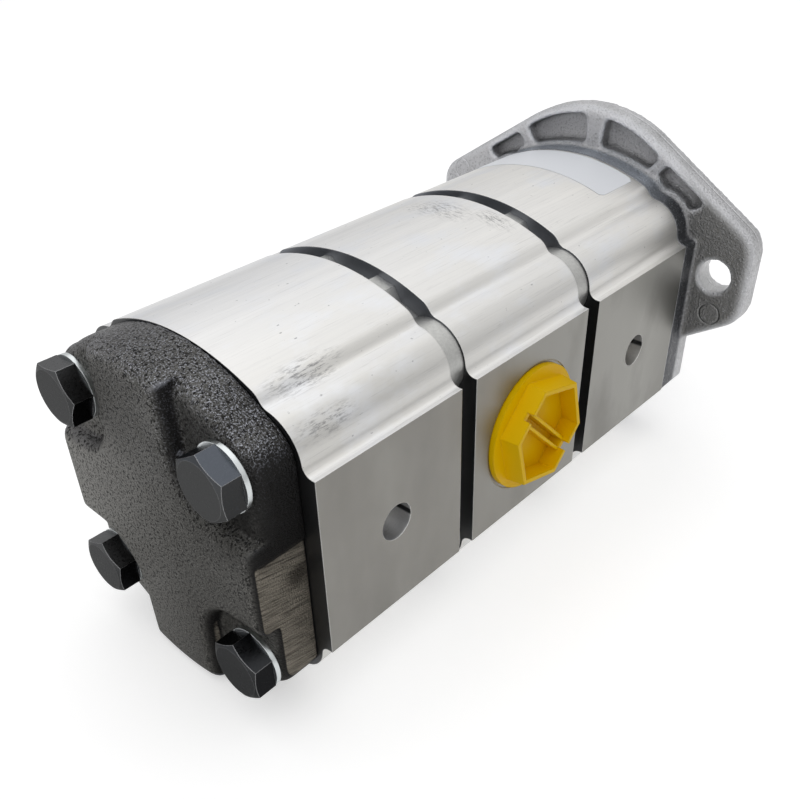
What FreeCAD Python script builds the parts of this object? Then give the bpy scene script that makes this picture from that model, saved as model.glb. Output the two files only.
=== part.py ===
import FreeCAD, Part
import math
import os

# A triple gear pump: three gear pump sections stacked in line behind one two-bolt mounting flange.
# X runs along the drive shaft to its free end, Z is up, and the suction side faces -Y.
# The origin is the centre of the pilot on the mounting face, so the drive shaft turns on the X axis
# and each driven gear turns one centre distance below it. All sizes are in millimetres.

vector = FreeCAD.Vector
ALONG = vector(1, 0, 0)

# Lengths of the stack, from the mounting face to the rear
flange_thickness = 9.0
neck_length = 7.0
front_body_length = 52.0
middle_body_length = 52.0
rear_body_length = 51.0
plate_thickness = 6.0
cover_base_thickness = 12.2
cover_face_rise = 4.8

# Gears
gear_module = 3.0
gear_teeth = 11
pressure_angle = math.radians(25)
gear_addendum = 3.0
root_clearance = 0.3
backlash = 0.08
journal_radius = 10.0

# Outline of the extruded bodies, about the point midway between the two gear axes
flat_half_width = 45.0
flat_drop = 1.6
arch_height = 49.3
arch_fall = 6.14
arch_inset = 2.0
notch_slope = math.radians(51)
shoulder_round = 5.0
notch_round = 3.0
flat_edge_round = 3.0
bolt_inset = 15.2
bolt_drop = 20.4
ear_radius = 11.4

# Outline of the cast rear cover
cover_ear_radius = 10.0
cover_arch_dip = 1.2
cover_arch_reach = 4.0
cover_shoulder_round = 6.0
cover_edge_round = 4.0
face_edge_round = 3.8
head_pocket_radius = 14.8
head_pocket_flare = 3.0
gate_flat_depth = 0.7
gate_flat_height = 42.0
gate_flat_drop = 12.5

# Outline of the spacer plates
plate_side_inset = 6.0
plate_ear_inset = 0.5
plate_recess = 5.0
plate_pad_inset = 2.0
plate_pad_taper = 3.0
plate_pads = ((-20.0, -8.0), (3.0, 12.0))
plate_bore_radius = 8.0

# Mounting flange with its pilot and its two bolt holes
pilot_radius = 41.275
pilot_length = 6.35
flange_margin = 13.7
lobe_centre_y = 54.5
lobe_centre_z = 8.5
lobe_radius = 10.0
mount_hole_spacing = 106.4
mount_hole_radius = 5.65
rim_width = 2.8
rim_round = 2.6
pocket_floor = 4.0
pocket_neck_gap = 1.4
pocket_corner_round = 1.6
pocket_angles = ((-60.0, -41.5), (-35.5, -2.0), (8.0, 38.5), (43.5, 64.0))
neck_relief = 1.5

# Shaft end, shaft seal and its ring
shaft_projection = 32.0
spline_length = 22.0
shaft_end_chamfer = 1.2
seal_radius = 17.5
seal_width = 7.0
seal_bore_depth = 9.0
seal_shell = 1.6
seal_lip_length = 5.2
seal_lip_edge = 1.0
seal_lip_thickness = 1.6
shaft_hole_clearance = 0.6
lip_clearance = 0.04
clip_thickness = 1.5
clip_groove_depth = 0.8
clip_band = 2.6
clip_gap = 9.0

# Splines by tooth count and diametral pitch: the drive end, and the stubs between the sections
inch = 25.4
drive_spline_teeth = 11
drive_spline_pitch = 16
stub_spline_teeth = 9
stub_spline_pitch = 20
spline_addendum = 1.0
spline_dedendum = 1.35
spline_flank = math.tan(math.radians(30))
spline_clearance = 0.08
socket_depth = 11.5
stub_end_gap = 0.5
shaft_end_gap = 0.5

# Bearing blocks and bushes
block_length = 12.9
side_clearance = 0.05
bore_clearance = 0.05
block_clearance = 0.03
bush_wall = 1.5
bush_clearance = 0.03
bush_recess = 0.4

# Seals
groove_depth = 2.0
groove_width = 2.2
groove_wall = 2.2
balance_seal_radius = 16.8
balance_seal_width = 1.8
balance_seal_depth = 1.6
balance_seal_reach = 5.0

# Clamp bolts, washers and dowels
bolt_radius = 5.0
bolt_length = 190.0
bolt_hole_clearance = 0.3
bolt_thread_clearance = 0.05
bolt_head_height = 6.2
bolt_head_flats = 15.8
bolt_head_chamfer = 1.0
bolt_tip_gap = 1.5
bolt_turns = (29.2, 29.9, 54.4, 37.3)
washer_radius = 8.9
washer_hole_clearance = 0.2
washer_thickness = 1.3
dowel_radius = 3.0
dowel_reach = 7.0
dowel_spread_y = 33.0
dowel_spread_z = 15.0
dowel_clearance = 0.02

# Ports. The suction port serves all three sections through a slot along the gear chambers.
suction_port_radius = 15.4
suction_port_depth = 18.0
suction_face_radius = 20.0
suction_passage_radius = 11.0
suction_slot_reach = 20.0
suction_slot_half_height = 7.0
outlet_port_radius = 9.5
outlet_port_depth = 17.0
outlet_face_radius = 14.5
outlet_passage_radius = 6.0
spot_face_depth = 0.5
side_hole_radius = 5.3
side_hole_depth = 12.0
drill_point = math.radians(59)

# Plug of the suction port
plug_flange_radius = 19.2
plug_flange_thickness = 1.8
plug_stem_length = 8.5
plug_stem_clearance = 0.3
plug_stem_wall = 2.0
plug_cup_height = 7.5
plug_cup_base = 17.4
plug_cup_rim = 16.5
plug_cup_wall = 1.4
plug_floor = 1.5
plug_cup_turn = math.radians(45)
plug_rib = 1.0
plug_slot = 2.4
plug_slot_depth = 2.0

# How far solids that are joined run into each other
overlap = 1.0

# Values that follow from those above
centre_distance = gear_module * gear_teeth
pitch_radius = centre_distance / 2
tip_radius = pitch_radius + gear_addendum
root_radius = centre_distance - tip_radius - root_clearance
bore_radius = tip_radius + bore_clearance
mid_z = -pitch_radius
gear_axes = (0.0, -centre_distance)
bolt_spread_y = flat_half_width - bolt_inset
bolt_spread_z = arch_height - bolt_drop
flat_half_height = bolt_spread_z - flat_drop
arch_half_width = bolt_spread_y - arch_inset
arch_radius = (arch_half_width ** 2 + arch_fall ** 2) / (2 * arch_fall)
arch_centre = arch_height - arch_radius
cover_arch_half_width = bolt_spread_y + cover_arch_reach
cover_arch_fall = bolt_drop - cover_ear_radius + cover_arch_dip
cover_arch_radius = (cover_arch_half_width ** 2 + cover_arch_fall ** 2) / (2 * cover_arch_fall)
flange_radius = mid_z + arch_height + flange_margin
drive_spline = (drive_spline_teeth, drive_spline_pitch)
stub_spline = (stub_spline_teeth, stub_spline_pitch)
neck_rear = -(flange_thickness + neck_length)
front_body = (neck_rear - front_body_length, neck_rear)
front_plate = (front_body[0] - plate_thickness, front_body[0])
middle_body = (front_plate[0] - middle_body_length, front_plate[0])
rear_plate = (middle_body[0] - plate_thickness, middle_body[0])
rear_body = (rear_plate[0] - rear_body_length, rear_plate[0])
cover_front = rear_body[0]
bolt_seat = cover_front - cover_base_thickness
cover_back = bolt_seat - cover_face_rise
bolt_head_seat = bolt_seat - washer_thickness
bolt_spots = [
    (side * bolt_spread_y, mid_z + level * bolt_spread_z) for side in (-1, 1) for level in (1, -1)
]
dowel_spots = [(dowel_spread_y, mid_z + dowel_spread_z), (-dowel_spread_y, mid_z - dowel_spread_z)]


def disc(x0, x1, y, z, radius):
    """Round bar along X between two stations."""
    return Part.makeCylinder(radius, x1 - x0, vector(x0, y, z), ALONG)


def block(x0, x1, y0, y1, z0, z1):
    """Rectangular bar between two corners."""
    return Part.makeBox(x1 - x0, y1 - y0, z1 - z0, vector(x0, y0, z0))


def bar(x0, x1, points):
    """Bar along X whose section has straight sides between (y, z) points."""
    outline = Part.makePolygon([vector(x0, y, z) for y, z in points + points[:1]])
    return Part.Face(outline).extrude(vector(x1 - x0, 0, 0))


def turned(points, y=0.0, z=0.0):
    """Solid of revolution about the line along X through (y, z), from (x, radius) points."""
    outline = Part.makePolygon([vector(x, y, z + radius) for x, radius in points + points[:1]])
    return Part.Face(outline).revolve(vector(0, y, z), ALONG, 360)


def union(shapes):
    """One solid from shapes that touch, without the seams between them."""
    return shapes[0].fuse(shapes[1:]).removeSplitter()


def mirrored(points):
    """The (y, z) points and their images across both middle planes of the body."""
    return [(side * y, mid_z + level * z) for y, z in points for side in (-1, 1) for level in (-1, 1)]


def edges_along_x(solid, spots):
    """The edges parallel to X nearest to the (y, z) spots."""
    found = []
    for y, z in spots:
        best = None
        for edge in solid.Edges:
            a, b = edge.Vertexes[0].Point, edge.Vertexes[-1].Point
            if math.hypot(a.y - b.y, a.z - b.z) < 1e-6 and abs(a.x - b.x) > 1e-3:
                distance = math.hypot(a.y - y, a.z - z)
                if best is None or distance < best[0]:
                    best = (distance, edge)
        if not any(best[1].isSame(edge) for edge in found):
            found.append(best[1])
    return found


def edges_at_x(solid, x):
    """The edges that lie in the plane across the shaft at x."""
    return [edge for edge in solid.Edges if all(abs(v.X - x) < 1e-6 for v in edge.Vertexes)
            and abs(edge.CenterOfMass.x - x) < 1e-6]


def arch_end():
    """Height of the arch where its leaning sides begin, about the middle."""
    return arch_centre + math.sqrt(arch_radius ** 2 - arch_half_width ** 2)


def arch_block(x0, x1, growth=0.0):
    """The middle of an outline: arched at the top and bottom, with leaning sides down to the ears."""
    lean = 1 / math.tan(notch_slope)
    top_z = arch_height + growth + overlap
    top_y = arch_half_width + growth - (top_z - arch_end()) * lean
    low_y = arch_half_width + growth + (arch_end() - bolt_spread_z) * lean
    halves = []
    for level in (1, -1):
        points = [(-top_y, top_z), (top_y, top_z), (low_y, bolt_spread_z), (low_y, 0),
                  (-low_y, 0), (-low_y, bolt_spread_z)]
        side = bar(x0, x1, [(y, mid_z + level * z) for y, z in points])
        halves.append(side.common(disc(x0, x1, 0, mid_z + level * arch_centre, arch_radius + growth)))
    return halves


def body_outline(x0, x1):
    """Outside of an extruded body: arched top and bottom, four bolt ears and two flat sides."""
    half_z = flat_half_height
    pieces = arch_block(x0, x1)
    pieces.append(block(x0, x1, -flat_half_width, flat_half_width, mid_z - half_z, mid_z + half_z))
    pieces += [disc(x0, x1, y, z, ear_radius) for y, z in bolt_spots]
    solid = union(pieces)
    flat_meet = bolt_spread_y + math.sqrt(ear_radius ** 2 - (half_z - bolt_spread_z) ** 2)
    for radius, spot in ((shoulder_round, (arch_half_width, arch_end())), (notch_round, notch_foot()),
                         (flat_edge_round, (flat_meet, half_z))):
        solid = solid.makeFillet(radius, edges_along_x(solid, mirrored([spot])))
    return solid


def notch_foot():
    """Where the leaning side of the arch meets the bolt ear, in (y, z) about the middle."""
    direction = (math.cos(notch_slope), -math.sin(notch_slope))
    offset = (arch_half_width - bolt_spread_y, arch_end() - bolt_spread_z)
    along = offset[0] * direction[0] + offset[1] * direction[1]
    inside = math.sqrt(along ** 2 - offset[0] ** 2 - offset[1] ** 2 + ear_radius ** 2)
    travel = -along - inside
    return (arch_half_width + travel * direction[0], arch_end() + travel * direction[1])


def racetrack(x0, x1, radius):
    """Bar with the outline of a belt round the two gear axes."""
    low, high = gear_axes[1], gear_axes[0]
    return union([disc(x0, x1, 0, high, radius), disc(x0, x1, 0, low, radius),
                  block(x0, x1, -radius, radius, low, high)])


def seal_ring(x0, x1):
    """Ring that seals one joint face, round both gear chambers."""
    inner = bore_radius + groove_wall
    return racetrack(x0, x1, inner + groove_width).cut(racetrack(x0, x1, inner))


def seal_stations():
    """Where the joint seals lie: one in each cover and one in each face of the plates."""
    stations = [(cover_front - groove_depth, cover_front), (neck_rear, neck_rear + groove_depth)]
    for x0, x1 in (rear_plate, front_plate):
        stations += [(x0, x0 + groove_depth), (x1 - groove_depth, x1)]
    return stations


def bolt_holes(x0, x1, clearance=bolt_hole_clearance):
    """The four clamp bolt holes between two stations."""
    return [disc(x0, x1, y, z, bolt_radius + clearance) for y, z in bolt_spots]


def dowel_spans():
    """The stretches of the stack that the dowels bridge."""
    return [(cover_front - dowel_reach, cover_front + dowel_reach),
            (rear_plate[0] - dowel_reach, rear_plate[1] + dowel_reach),
            (front_plate[0] - dowel_reach, front_plate[1] + dowel_reach),
            (neck_rear - dowel_reach, neck_rear + dowel_reach)]


def dowel_holes():
    """Every dowel hole through the stack."""
    return [disc(x0, x1, y, z, dowel_radius + dowel_clearance)
            for x0, x1 in dowel_spans() for y, z in dowel_spots]


def suction_slot(x0, x1):
    """Slot along the suction side of the gear chambers."""
    half = suction_slot_half_height
    return block(x0, x1, -suction_slot_reach, -bore_radius / 2, mid_z - half, mid_z + half)


def side_port(x, side, radius, depth, face_radius, passage_radius):
    """Threaded port from a flat side into the gear chamber, with its spot face."""
    inward = vector(0, -side, 0)
    mouth = vector(x, side * flat_half_width, mid_z)
    seat = Part.makeCylinder(face_radius, spot_face_depth, mouth, inward)
    hole = Part.makeCylinder(radius, depth, mouth, inward)
    passage = Part.makeCylinder(passage_radius, flat_half_width - bore_radius / 2, mouth, inward)
    return [seat, hole, passage]


def blind_side_hole(x):
    """Drilled blind hole in the middle of the suction side."""
    floor = flat_half_width - side_hole_depth
    hole = Part.makeCylinder(side_hole_radius, side_hole_depth, vector(x, -floor, mid_z), vector(0, -1, 0))
    point = side_hole_radius / math.tan(drill_point)
    tip = Part.makeCone(side_hole_radius, 0, point, vector(x, -floor, mid_z), vector(0, 1, 0))
    return [hole, tip]


def pump_body(span, suction_port):
    """One extruded body with its gear chambers, bolt holes and ports."""
    x0, x1 = span
    middle = (x0 + x1) / 2
    cuts = [disc(x0, x1, 0, z, bore_radius) for z in gear_axes] + bolt_holes(x0, x1) + dowel_holes()
    cuts.append(suction_slot(x0, x1))
    cuts += side_port(middle, 1, outlet_port_radius, outlet_port_depth, outlet_face_radius,
                      outlet_passage_radius)
    if suction_port:
        cuts += side_port(middle, -1, suction_port_radius, suction_port_depth, suction_face_radius,
                          suction_passage_radius)
    else:
        cuts += blind_side_hole(middle)
    return body_outline(x0, x1).cut(cuts)


def plate_pads_between(x0, x1):
    """Pads at the top and bottom of a plate, with sloping ends down to its recessed edge."""
    pads = []
    for y0, y1 in plate_pads:
        feet = [(y, arch_top(y, plate_recess) - overlap) for y in (y0, y1)]
        tops = [(y, arch_top(y, plate_pad_inset)) for y in (y1 - plate_pad_taper, y0 + plate_pad_taper)]
        pads += [bar(x0, x1, [(y, mid_z + level * z) for y, z in feet + tops]) for level in (1, -1)]
    return pads


def arch_top(y, inset):
    """Height of the arch at y, about the middle, set in by a distance."""
    return arch_centre + math.sqrt((arch_radius - inset) ** 2 - y ** 2)


def spacer_plate(span):
    """Cast plate between two sections: set in from the bodies, with ears and two pads at top and bottom."""
    x0, x1 = span
    side = flat_half_width - plate_side_inset
    ears = [disc(x0, x1, y, z, ear_radius - plate_ear_inset) for y, z in bolt_spots]
    middle = block(x0, x1, -side, side, mid_z - flat_half_height, mid_z + flat_half_height)
    inside = arch_block(x0, x1, -plate_recess)
    plate = union([middle] + ears + inside + plate_pads_between(x0, x1))
    cuts = bolt_holes(x0, x1) + dowel_holes() + [suction_slot(x0, x1)]
    cuts.append(disc(x0, x1, 0, gear_axes[0], plate_bore_radius))
    cuts += [seal_ring(a, b) for a, b in seal_stations()]
    return plate.cut(cuts)


def cover_outline(x0, x1):
    """Outline of the rear cover: arched top and bottom, flat sides and round bolt corners."""
    side = bolt_spread_y + cover_ear_radius
    arch_mid = arch_height - cover_arch_radius
    ears = [disc(x0, x1, y, z, cover_ear_radius) for y, z in bolt_spots]
    middle = block(x0, x1, -side, side, mid_z - bolt_spread_z, mid_z + bolt_spread_z)
    wide = cover_arch_half_width
    span = block(x0, x1, -wide, wide, mid_z - arch_height, mid_z + arch_height)
    for level in (1, -1):
        span = span.common(disc(x0, x1, 0, mid_z + level * arch_mid, cover_arch_radius))
    solid = union(ears + [middle, span])
    meeting = (wide, bolt_spread_z + cover_ear_radius)
    return solid.makeFillet(cover_shoulder_round, edges_along_x(solid, mirrored([meeting])))


def cover_pocket(x0, x1, y, z):
    """Space round one bolt head, open to the outside of the cover."""
    side = math.copysign(1, y)
    level = math.copysign(1, z - mid_z)
    near = head_pocket_radius
    wide = near + head_pocket_flare
    far = 2 * arch_height
    corners = [(0, 0), (-near, 0), (-wide, far), (far, far), (far, -wide), (0, -near)]
    wedge = bar(x0, x1, [(y + side * a, z + level * b) for a, b in corners])
    return union([disc(x0, x1, y, z, near), wedge])


def rear_cover():
    """Cast rear cover: a rounded base and a raised face waisted by a pocket for each bolt."""
    base = cover_outline(bolt_seat, cover_front)
    base = base.makeFillet(cover_edge_round, edges_at_x(base, bolt_seat))
    core = cover_outline(cover_back, cover_front)
    raised = core.cut([cover_pocket(cover_back, cover_front, y, z) for y, z in bolt_spots])
    raised = raised.makeFillet(face_edge_round, edges_at_x(raised, cover_back))
    cover = union([base, raised])
    gate_face = gate_flat_depth - bolt_spread_y - cover_ear_radius
    gate_z = mid_z - gate_flat_drop
    gate = block(cover_back, cover_front, -flat_half_width, gate_face, gate_z - gate_flat_height / 2,
                 gate_z + gate_flat_height / 2)
    return cover.cut([gate] + bolt_holes(cover_back, cover_front) + dowel_holes()
                     + [seal_ring(a, b) for a, b in seal_stations()])


def flange_outline(x0, x1, inset=0.0):
    """Two-bolt flange: a round middle drawn out to a flat-ended lobe on each side."""
    big = flange_radius - inset
    small = lobe_radius - inset
    reach = math.hypot(lobe_centre_y, lobe_centre_z)
    lean = math.atan2(lobe_centre_z, lobe_centre_y) + math.acos((big - small) / reach)
    cosine, sine = math.cos(lean), math.sin(lean)
    tangent = [(lobe_centre_y + small * cosine, lobe_centre_z + small * sine), (big * cosine, big * sine)]
    end = lobe_centre_y + small
    quarter = [(end, 0), (end, lobe_centre_z)] + tangent + [(0, big * sine)]
    points = quarter + [(-y, z) for y, z in quarter[::-1][1:]]
    points += [(-y, -z) for y, z in quarter[1:]] + [(y, -z) for y, z in quarter[::-1][1:-1]]
    lobes = [disc(x0, x1, side * lobe_centre_y, level * lobe_centre_z, small)
             for side in (1, -1) for level in (1, -1)]
    return union([bar(x0, x1, points), disc(x0, x1, 0, 0, big)] + lobes)


def grown_neck(x0, x1, growth):
    """The neck's outline, which is that of the bodies, grown all round."""
    half_z = flat_half_height + growth
    wide = flat_half_width + growth
    pieces = arch_block(x0, x1, growth)
    pieces.append(block(x0, x1, -wide, wide, mid_z - half_z, mid_z + half_z))
    pieces += [disc(x0, x1, y, z, ear_radius + growth) for y, z in bolt_spots]
    return union(pieces)


def flange_pockets():
    """Pockets in the back of the flange, between the ribs above the neck, with rounded corners."""
    x0 = -flange_thickness
    x1 = -pocket_floor
    band = flange_outline(x0, x1, rim_width).cut(grown_neck(x0, x1, pocket_neck_gap))
    reach = 2 * flange_radius
    pockets = []
    for angles in pocket_angles:
        turns = [math.radians(angle) for angle in angles]
        corners = [(0.0, 0.0)] + [(-reach * math.sin(turn), reach * math.cos(turn)) for turn in turns]
        pocket = band.common(bar(x0, x1, corners))
        back = [face for face in pocket.Faces if abs(face.CenterOfMass.x - x0) < 1e-6][0]
        rounded = back.makeOffset2D(-pocket_corner_round).makeOffset2D(pocket_corner_round)
        pockets.append(rounded.extrude(vector(x1 - x0, 0, 0)))
    return pockets


def seal_bore_floor():
    """Station of the floor that the shaft seal rests on."""
    return pilot_length - seal_bore_depth


def front_cover():
    """Cast front cover: mounting flange, pilot, neck, and the housing of the shaft seal."""
    plate = flange_outline(-flange_thickness, 0)
    plate = plate.makeFillet(rim_round, edges_at_x(plate, -flange_thickness))
    neck = body_outline(neck_rear, -neck_relief)
    solid = union([plate, neck, disc(-overlap, pilot_length, 0, 0, pilot_radius)])
    floor = seal_bore_floor()
    cuts = flange_pockets() + dowel_holes() + [seal_ring(a, b) for a, b in seal_stations()]
    cuts += [disc(-flange_thickness, 0, side * mount_hole_spacing / 2, 0, mount_hole_radius)
             for side in (1, -1)]
    tip = bolt_head_seat + bolt_length + bolt_tip_gap
    cuts += bolt_holes(neck_rear, tip, bolt_thread_clearance)
    cuts.append(disc(neck_rear, pilot_length, 0, 0, journal_radius + shaft_hole_clearance))
    cuts.append(disc(floor, pilot_length, 0, 0, seal_radius))
    clip = floor + seal_width
    cuts.append(disc(clip, clip + clip_thickness, 0, 0, seal_radius + clip_groove_depth))
    return solid.cut(cuts)


def gear_outline(x, z, phase):
    """Outline of a spur gear: involute flanks as arcs, radial below the base circle."""
    base = pitch_radius * math.cos(pressure_angle)
    pitch_half = math.pi / (2 * gear_teeth) - backlash / (2 * pitch_radius)

    def involute(angle):
        return math.tan(angle) - angle

    def half_angle(radius):
        angle = math.acos(min(1.0, base / radius))
        return pitch_half + involute(pressure_angle) - involute(angle)

    def spot(radius, angle):
        return vector(x, radius * math.cos(angle), z + radius * math.sin(angle))

    middle = (base + tip_radius) / 2
    edges = []
    for tooth in range(gear_teeth):
        centre = phase + tooth * 2 * math.pi / gear_teeth
        foot, waist, tip = half_angle(base), half_angle(middle), half_angle(tip_radius)
        rise = [spot(root_radius, centre - foot), spot(base, centre - foot),
                spot(middle, centre - waist), spot(tip_radius, centre - tip)]
        fall = [spot(tip_radius, centre + tip), spot(middle, centre + waist),
                spot(base, centre + foot), spot(root_radius, centre + foot)]
        gap = centre + math.pi / gear_teeth
        following = spot(root_radius, centre + 2 * math.pi / gear_teeth - foot)
        edges += [Part.LineSegment(rise[0], rise[1]).toShape(),
                  Part.Arc(rise[1], rise[2], rise[3]).toShape(),
                  Part.Arc(rise[3], spot(tip_radius, centre), fall[0]).toShape(),
                  Part.Arc(fall[0], fall[1], fall[2]).toShape(),
                  Part.LineSegment(fall[2], fall[3]).toShape(),
                  Part.Arc(fall[3], spot(root_radius, gap), following).toShape()]
    return Part.Wire(edges)


def spline_radius(spline, teeth_more=0.0):
    """Pitch radius of a spline, or the radius of its tips or roots."""
    teeth, pitch = spline
    return inch * (teeth + teeth_more) / (2 * pitch)


def spline_bar(x0, x1, spline, growth=0.0):
    """Bar with straight-flanked spline teeth, grown all round for the matching socket."""
    teeth = spline[0]
    pitch_circle = spline_radius(spline)
    tip = spline_radius(spline, spline_addendum) + growth
    root = spline_radius(spline, -spline_dedendum) + growth
    half_tooth = math.pi * pitch_circle / (2 * teeth) + growth
    tip_half = (half_tooth - (tip - pitch_circle) * spline_flank) / tip
    root_half = (half_tooth + (pitch_circle - root) * spline_flank) / root
    points = []
    for tooth in range(teeth):
        centre = tooth * 2 * math.pi / teeth
        for radius, angle in ((root, -root_half), (tip, -tip_half), (tip, tip_half), (root, root_half)):
            points.append((radius * math.cos(centre + angle), radius * math.sin(centre + angle)))
    return bar(x0, x1, points)


def gear_span(span):
    """Stations of the two faces of a section's gears."""
    inset = block_length + 2 * side_clearance
    return span[0] + inset, span[1] - inset


def gear_shaft(span, z, phase, front_end):
    """Gear with its two journals in one piece of steel."""
    x0, x1 = gear_span(span)
    gear = Part.Face(gear_outline(x0, z, phase)).extrude(vector(x1 - x0, 0, 0))
    rear_end = span[0] + shaft_end_gap
    chamfer = shaft_end_chamfer
    rim = journal_radius - chamfer
    shaft = turned([(rear_end, 0), (rear_end, rim), (rear_end + chamfer, journal_radius),
                    (front_end - chamfer, journal_radius), (front_end, rim), (front_end, 0)], 0, z)
    return union([gear, shaft])


def drive_gear(span, rear_socket, front_socket):
    """Drive gear of one section, with a splined socket for each stub shaft that it meets."""
    end = span[1] - shaft_end_gap
    start = span[0] + shaft_end_gap
    shaft = gear_shaft(span, gear_axes[0], -math.pi / 2, end)
    cuts = []
    if rear_socket:
        cuts.append(spline_bar(start, start + socket_depth, stub_spline, spline_clearance))
    if front_socket:
        cuts.append(spline_bar(end - socket_depth, end, stub_spline, spline_clearance))
    return shaft.cut(cuts)


def front_drive_gear():
    """Drive gear of the front section, whose shaft runs out through the flange to the splined end."""
    spline_start = shaft_projection - spline_length
    shaft = gear_shaft(front_body, gear_axes[0], -math.pi / 2, spline_start)
    start = front_body[0] + shaft_end_gap
    tip = spline_radius(drive_spline, spline_addendum)
    root_start = spline_start - overlap
    chamfer = shaft_end_chamfer
    envelope = turned([(root_start, 0), (root_start, tip), (shaft_projection - chamfer, tip),
                       (shaft_projection, tip - chamfer), (shaft_projection, 0)])
    spline = spline_bar(root_start, shaft_projection, drive_spline).common(envelope)
    socket = spline_bar(start, start + socket_depth, stub_spline, spline_clearance)
    return union([shaft, spline]).cut(socket)


def driven_gear(span):
    """Driven gear of one section, half a tooth out of step so that it meshes at rest."""
    phase = math.pi / 2 + math.pi / gear_teeth
    return gear_shaft(span, gear_axes[1], phase, span[1] - shaft_end_gap)


def coupling(plate):
    """Splined stub shaft that passes through a spacer plate and joins two drive shafts."""
    reach = shaft_end_gap + socket_depth - stub_end_gap
    return spline_bar(plate[0] - reach, plate[1] + reach, stub_spline)


def balance_seal(x0, x1):
    """Three-shaped seal that marks off the pressure side behind a bearing block."""
    outer = balance_seal_radius + balance_seal_width / 2
    inner = balance_seal_radius - balance_seal_width / 2
    rings = union([disc(x0, x1, 0, z, outer) for z in gear_axes])
    rings = rings.cut([disc(x0, x1, 0, z, inner) for z in gear_axes])
    keep = block(x0, x1, -balance_seal_reach, bore_radius, gear_axes[1] - bore_radius, bore_radius)
    return rings.common(keep)


def block_spans(span):
    """Stations of the two bearing blocks of one section."""
    return ((span[0] + side_clearance, span[0] + side_clearance + block_length),
            (span[1] - side_clearance - block_length, span[1] - side_clearance))


def balance_seal_span(span, front):
    """Stations of the balance seal in the outer face of a block."""
    x0, x1 = block_spans(span)[1 if front else 0]
    return (x1 - balance_seal_depth, x1) if front else (x0, x0 + balance_seal_depth)


def bearing_block(span, front):
    """Figure-eight block that carries one end of both gears."""
    x0, x1 = block_spans(span)[1 if front else 0]
    solid = union([disc(x0, x1, 0, z, bore_radius - block_clearance) for z in gear_axes])
    cuts = [disc(x0, x1, 0, z, journal_radius + bush_clearance + bush_wall) for z in gear_axes]
    cuts.append(balance_seal(*balance_seal_span(span, front)))
    return solid.cut(cuts)


def bushes(span):
    """The four plain bushes of one section, a pair in each bearing block."""
    inner = journal_radius + bush_clearance
    return [disc(x0 + bush_recess, x1 - bush_recess, 0, z, inner + bush_wall).cut(
        disc(x0 + bush_recess, x1 - bush_recess, 0, z, inner))
        for x0, x1 in block_spans(span) for z in gear_axes]


def clamp_bolt(spot, turn):
    """Long hexagon-head bolt from the rear cover into the front cover."""
    y, z = spot
    seat = bolt_head_seat
    back = seat - bolt_head_height
    corner = bolt_head_flats / math.sqrt(3)
    angles = [math.radians(turn + 60 * k) for k in range(6)]
    head = bar(back, seat, [(y + corner * math.cos(a), z + corner * math.sin(a)) for a in angles])
    chamfer = bolt_head_chamfer
    face = bolt_head_flats / 2 - chamfer / 2
    crown = turned([(back, 0), (back, face), (back + chamfer, corner + chamfer / 2),
                    (seat, corner + chamfer / 2), (seat, 0)], y, z)
    end = seat + bolt_length
    shank = turned([(seat - overlap, 0), (seat - overlap, bolt_radius), (end - chamfer, bolt_radius),
                    (end, bolt_radius - chamfer), (end, 0)], y, z)
    return union([head.common(crown), shank])


def washer(spot):
    """Plain zinc-plated washer under a bolt head."""
    y, z = spot
    ring = disc(bolt_head_seat, bolt_seat, y, z, washer_radius)
    return ring.cut(disc(bolt_head_seat, bolt_seat, y, z, bolt_radius + washer_hole_clearance))


def dowels():
    """Locating pins between the bodies, plates and covers."""
    return [disc(x0, x1, y, z, dowel_radius) for x0, x1 in dowel_spans() for y, z in dowel_spots]


def shaft_seal():
    """Lip seal pressed into the pilot, round the drive shaft."""
    x0 = seal_bore_floor()
    x1 = x0 + seal_width
    floor = x0 + seal_shell
    wall = seal_radius - seal_shell
    lip = journal_radius + lip_clearance
    back = lip + seal_lip_thickness
    lip_end = x0 + seal_lip_length
    return turned([(x0, seal_radius), (x1, seal_radius), (x1, wall), (floor, wall), (floor, back),
                   (lip_end - seal_lip_edge / 2, back), (lip_end, lip), (lip_end - seal_lip_edge, lip),
                   (x0, lip + seal_lip_thickness / 2)])


def retaining_ring():
    """Open spring ring in the groove outside the shaft seal."""
    x0 = seal_bore_floor() + seal_width
    outer = seal_radius + clip_groove_depth
    ring = disc(x0, x0 + clip_thickness, 0, 0, outer)
    ring = ring.cut(disc(x0, x0 + clip_thickness, 0, 0, outer - clip_band))
    gap = block(x0, x0 + clip_thickness, -clip_gap / 2, clip_gap / 2, -outer, 0)
    return ring.cut(gap)


def hexagon_frustum(centre_x, near, far, base, rim):
    """Tapered hexagonal block standing out from the suction side between two distances."""
    wires = []
    for distance, corner in ((near, base), (far, rim)):
        angles = [plug_cup_turn + math.radians(60 * k) for k in range(7)]
        wires.append(Part.makePolygon([vector(centre_x + corner * math.cos(a), -distance,
                                              mid_z + corner * math.sin(a)) for a in angles]))
    return Part.makeLoft(wires, True, True)


def side_disc(centre_x, near, far, radius):
    """Round bar standing out from the suction side between two distances from the middle plane."""
    return Part.makeCylinder(radius, far - near, vector(centre_x, -near, mid_z), vector(0, -1, 0))


def slot_bar(centre_x, near, far, half_width, reach):
    """Bar across the plug, square to two of the hexagon's flats."""
    solid = Part.makeBox(2 * reach, far - near, 2 * half_width, vector(-reach, -far, -half_width))
    turn = math.degrees(plug_cup_turn) + 90
    solid.rotate(vector(0, 0, 0), vector(0, -1, 0), turn)
    solid.translate(vector(centre_x, 0, mid_z))
    return solid


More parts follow.
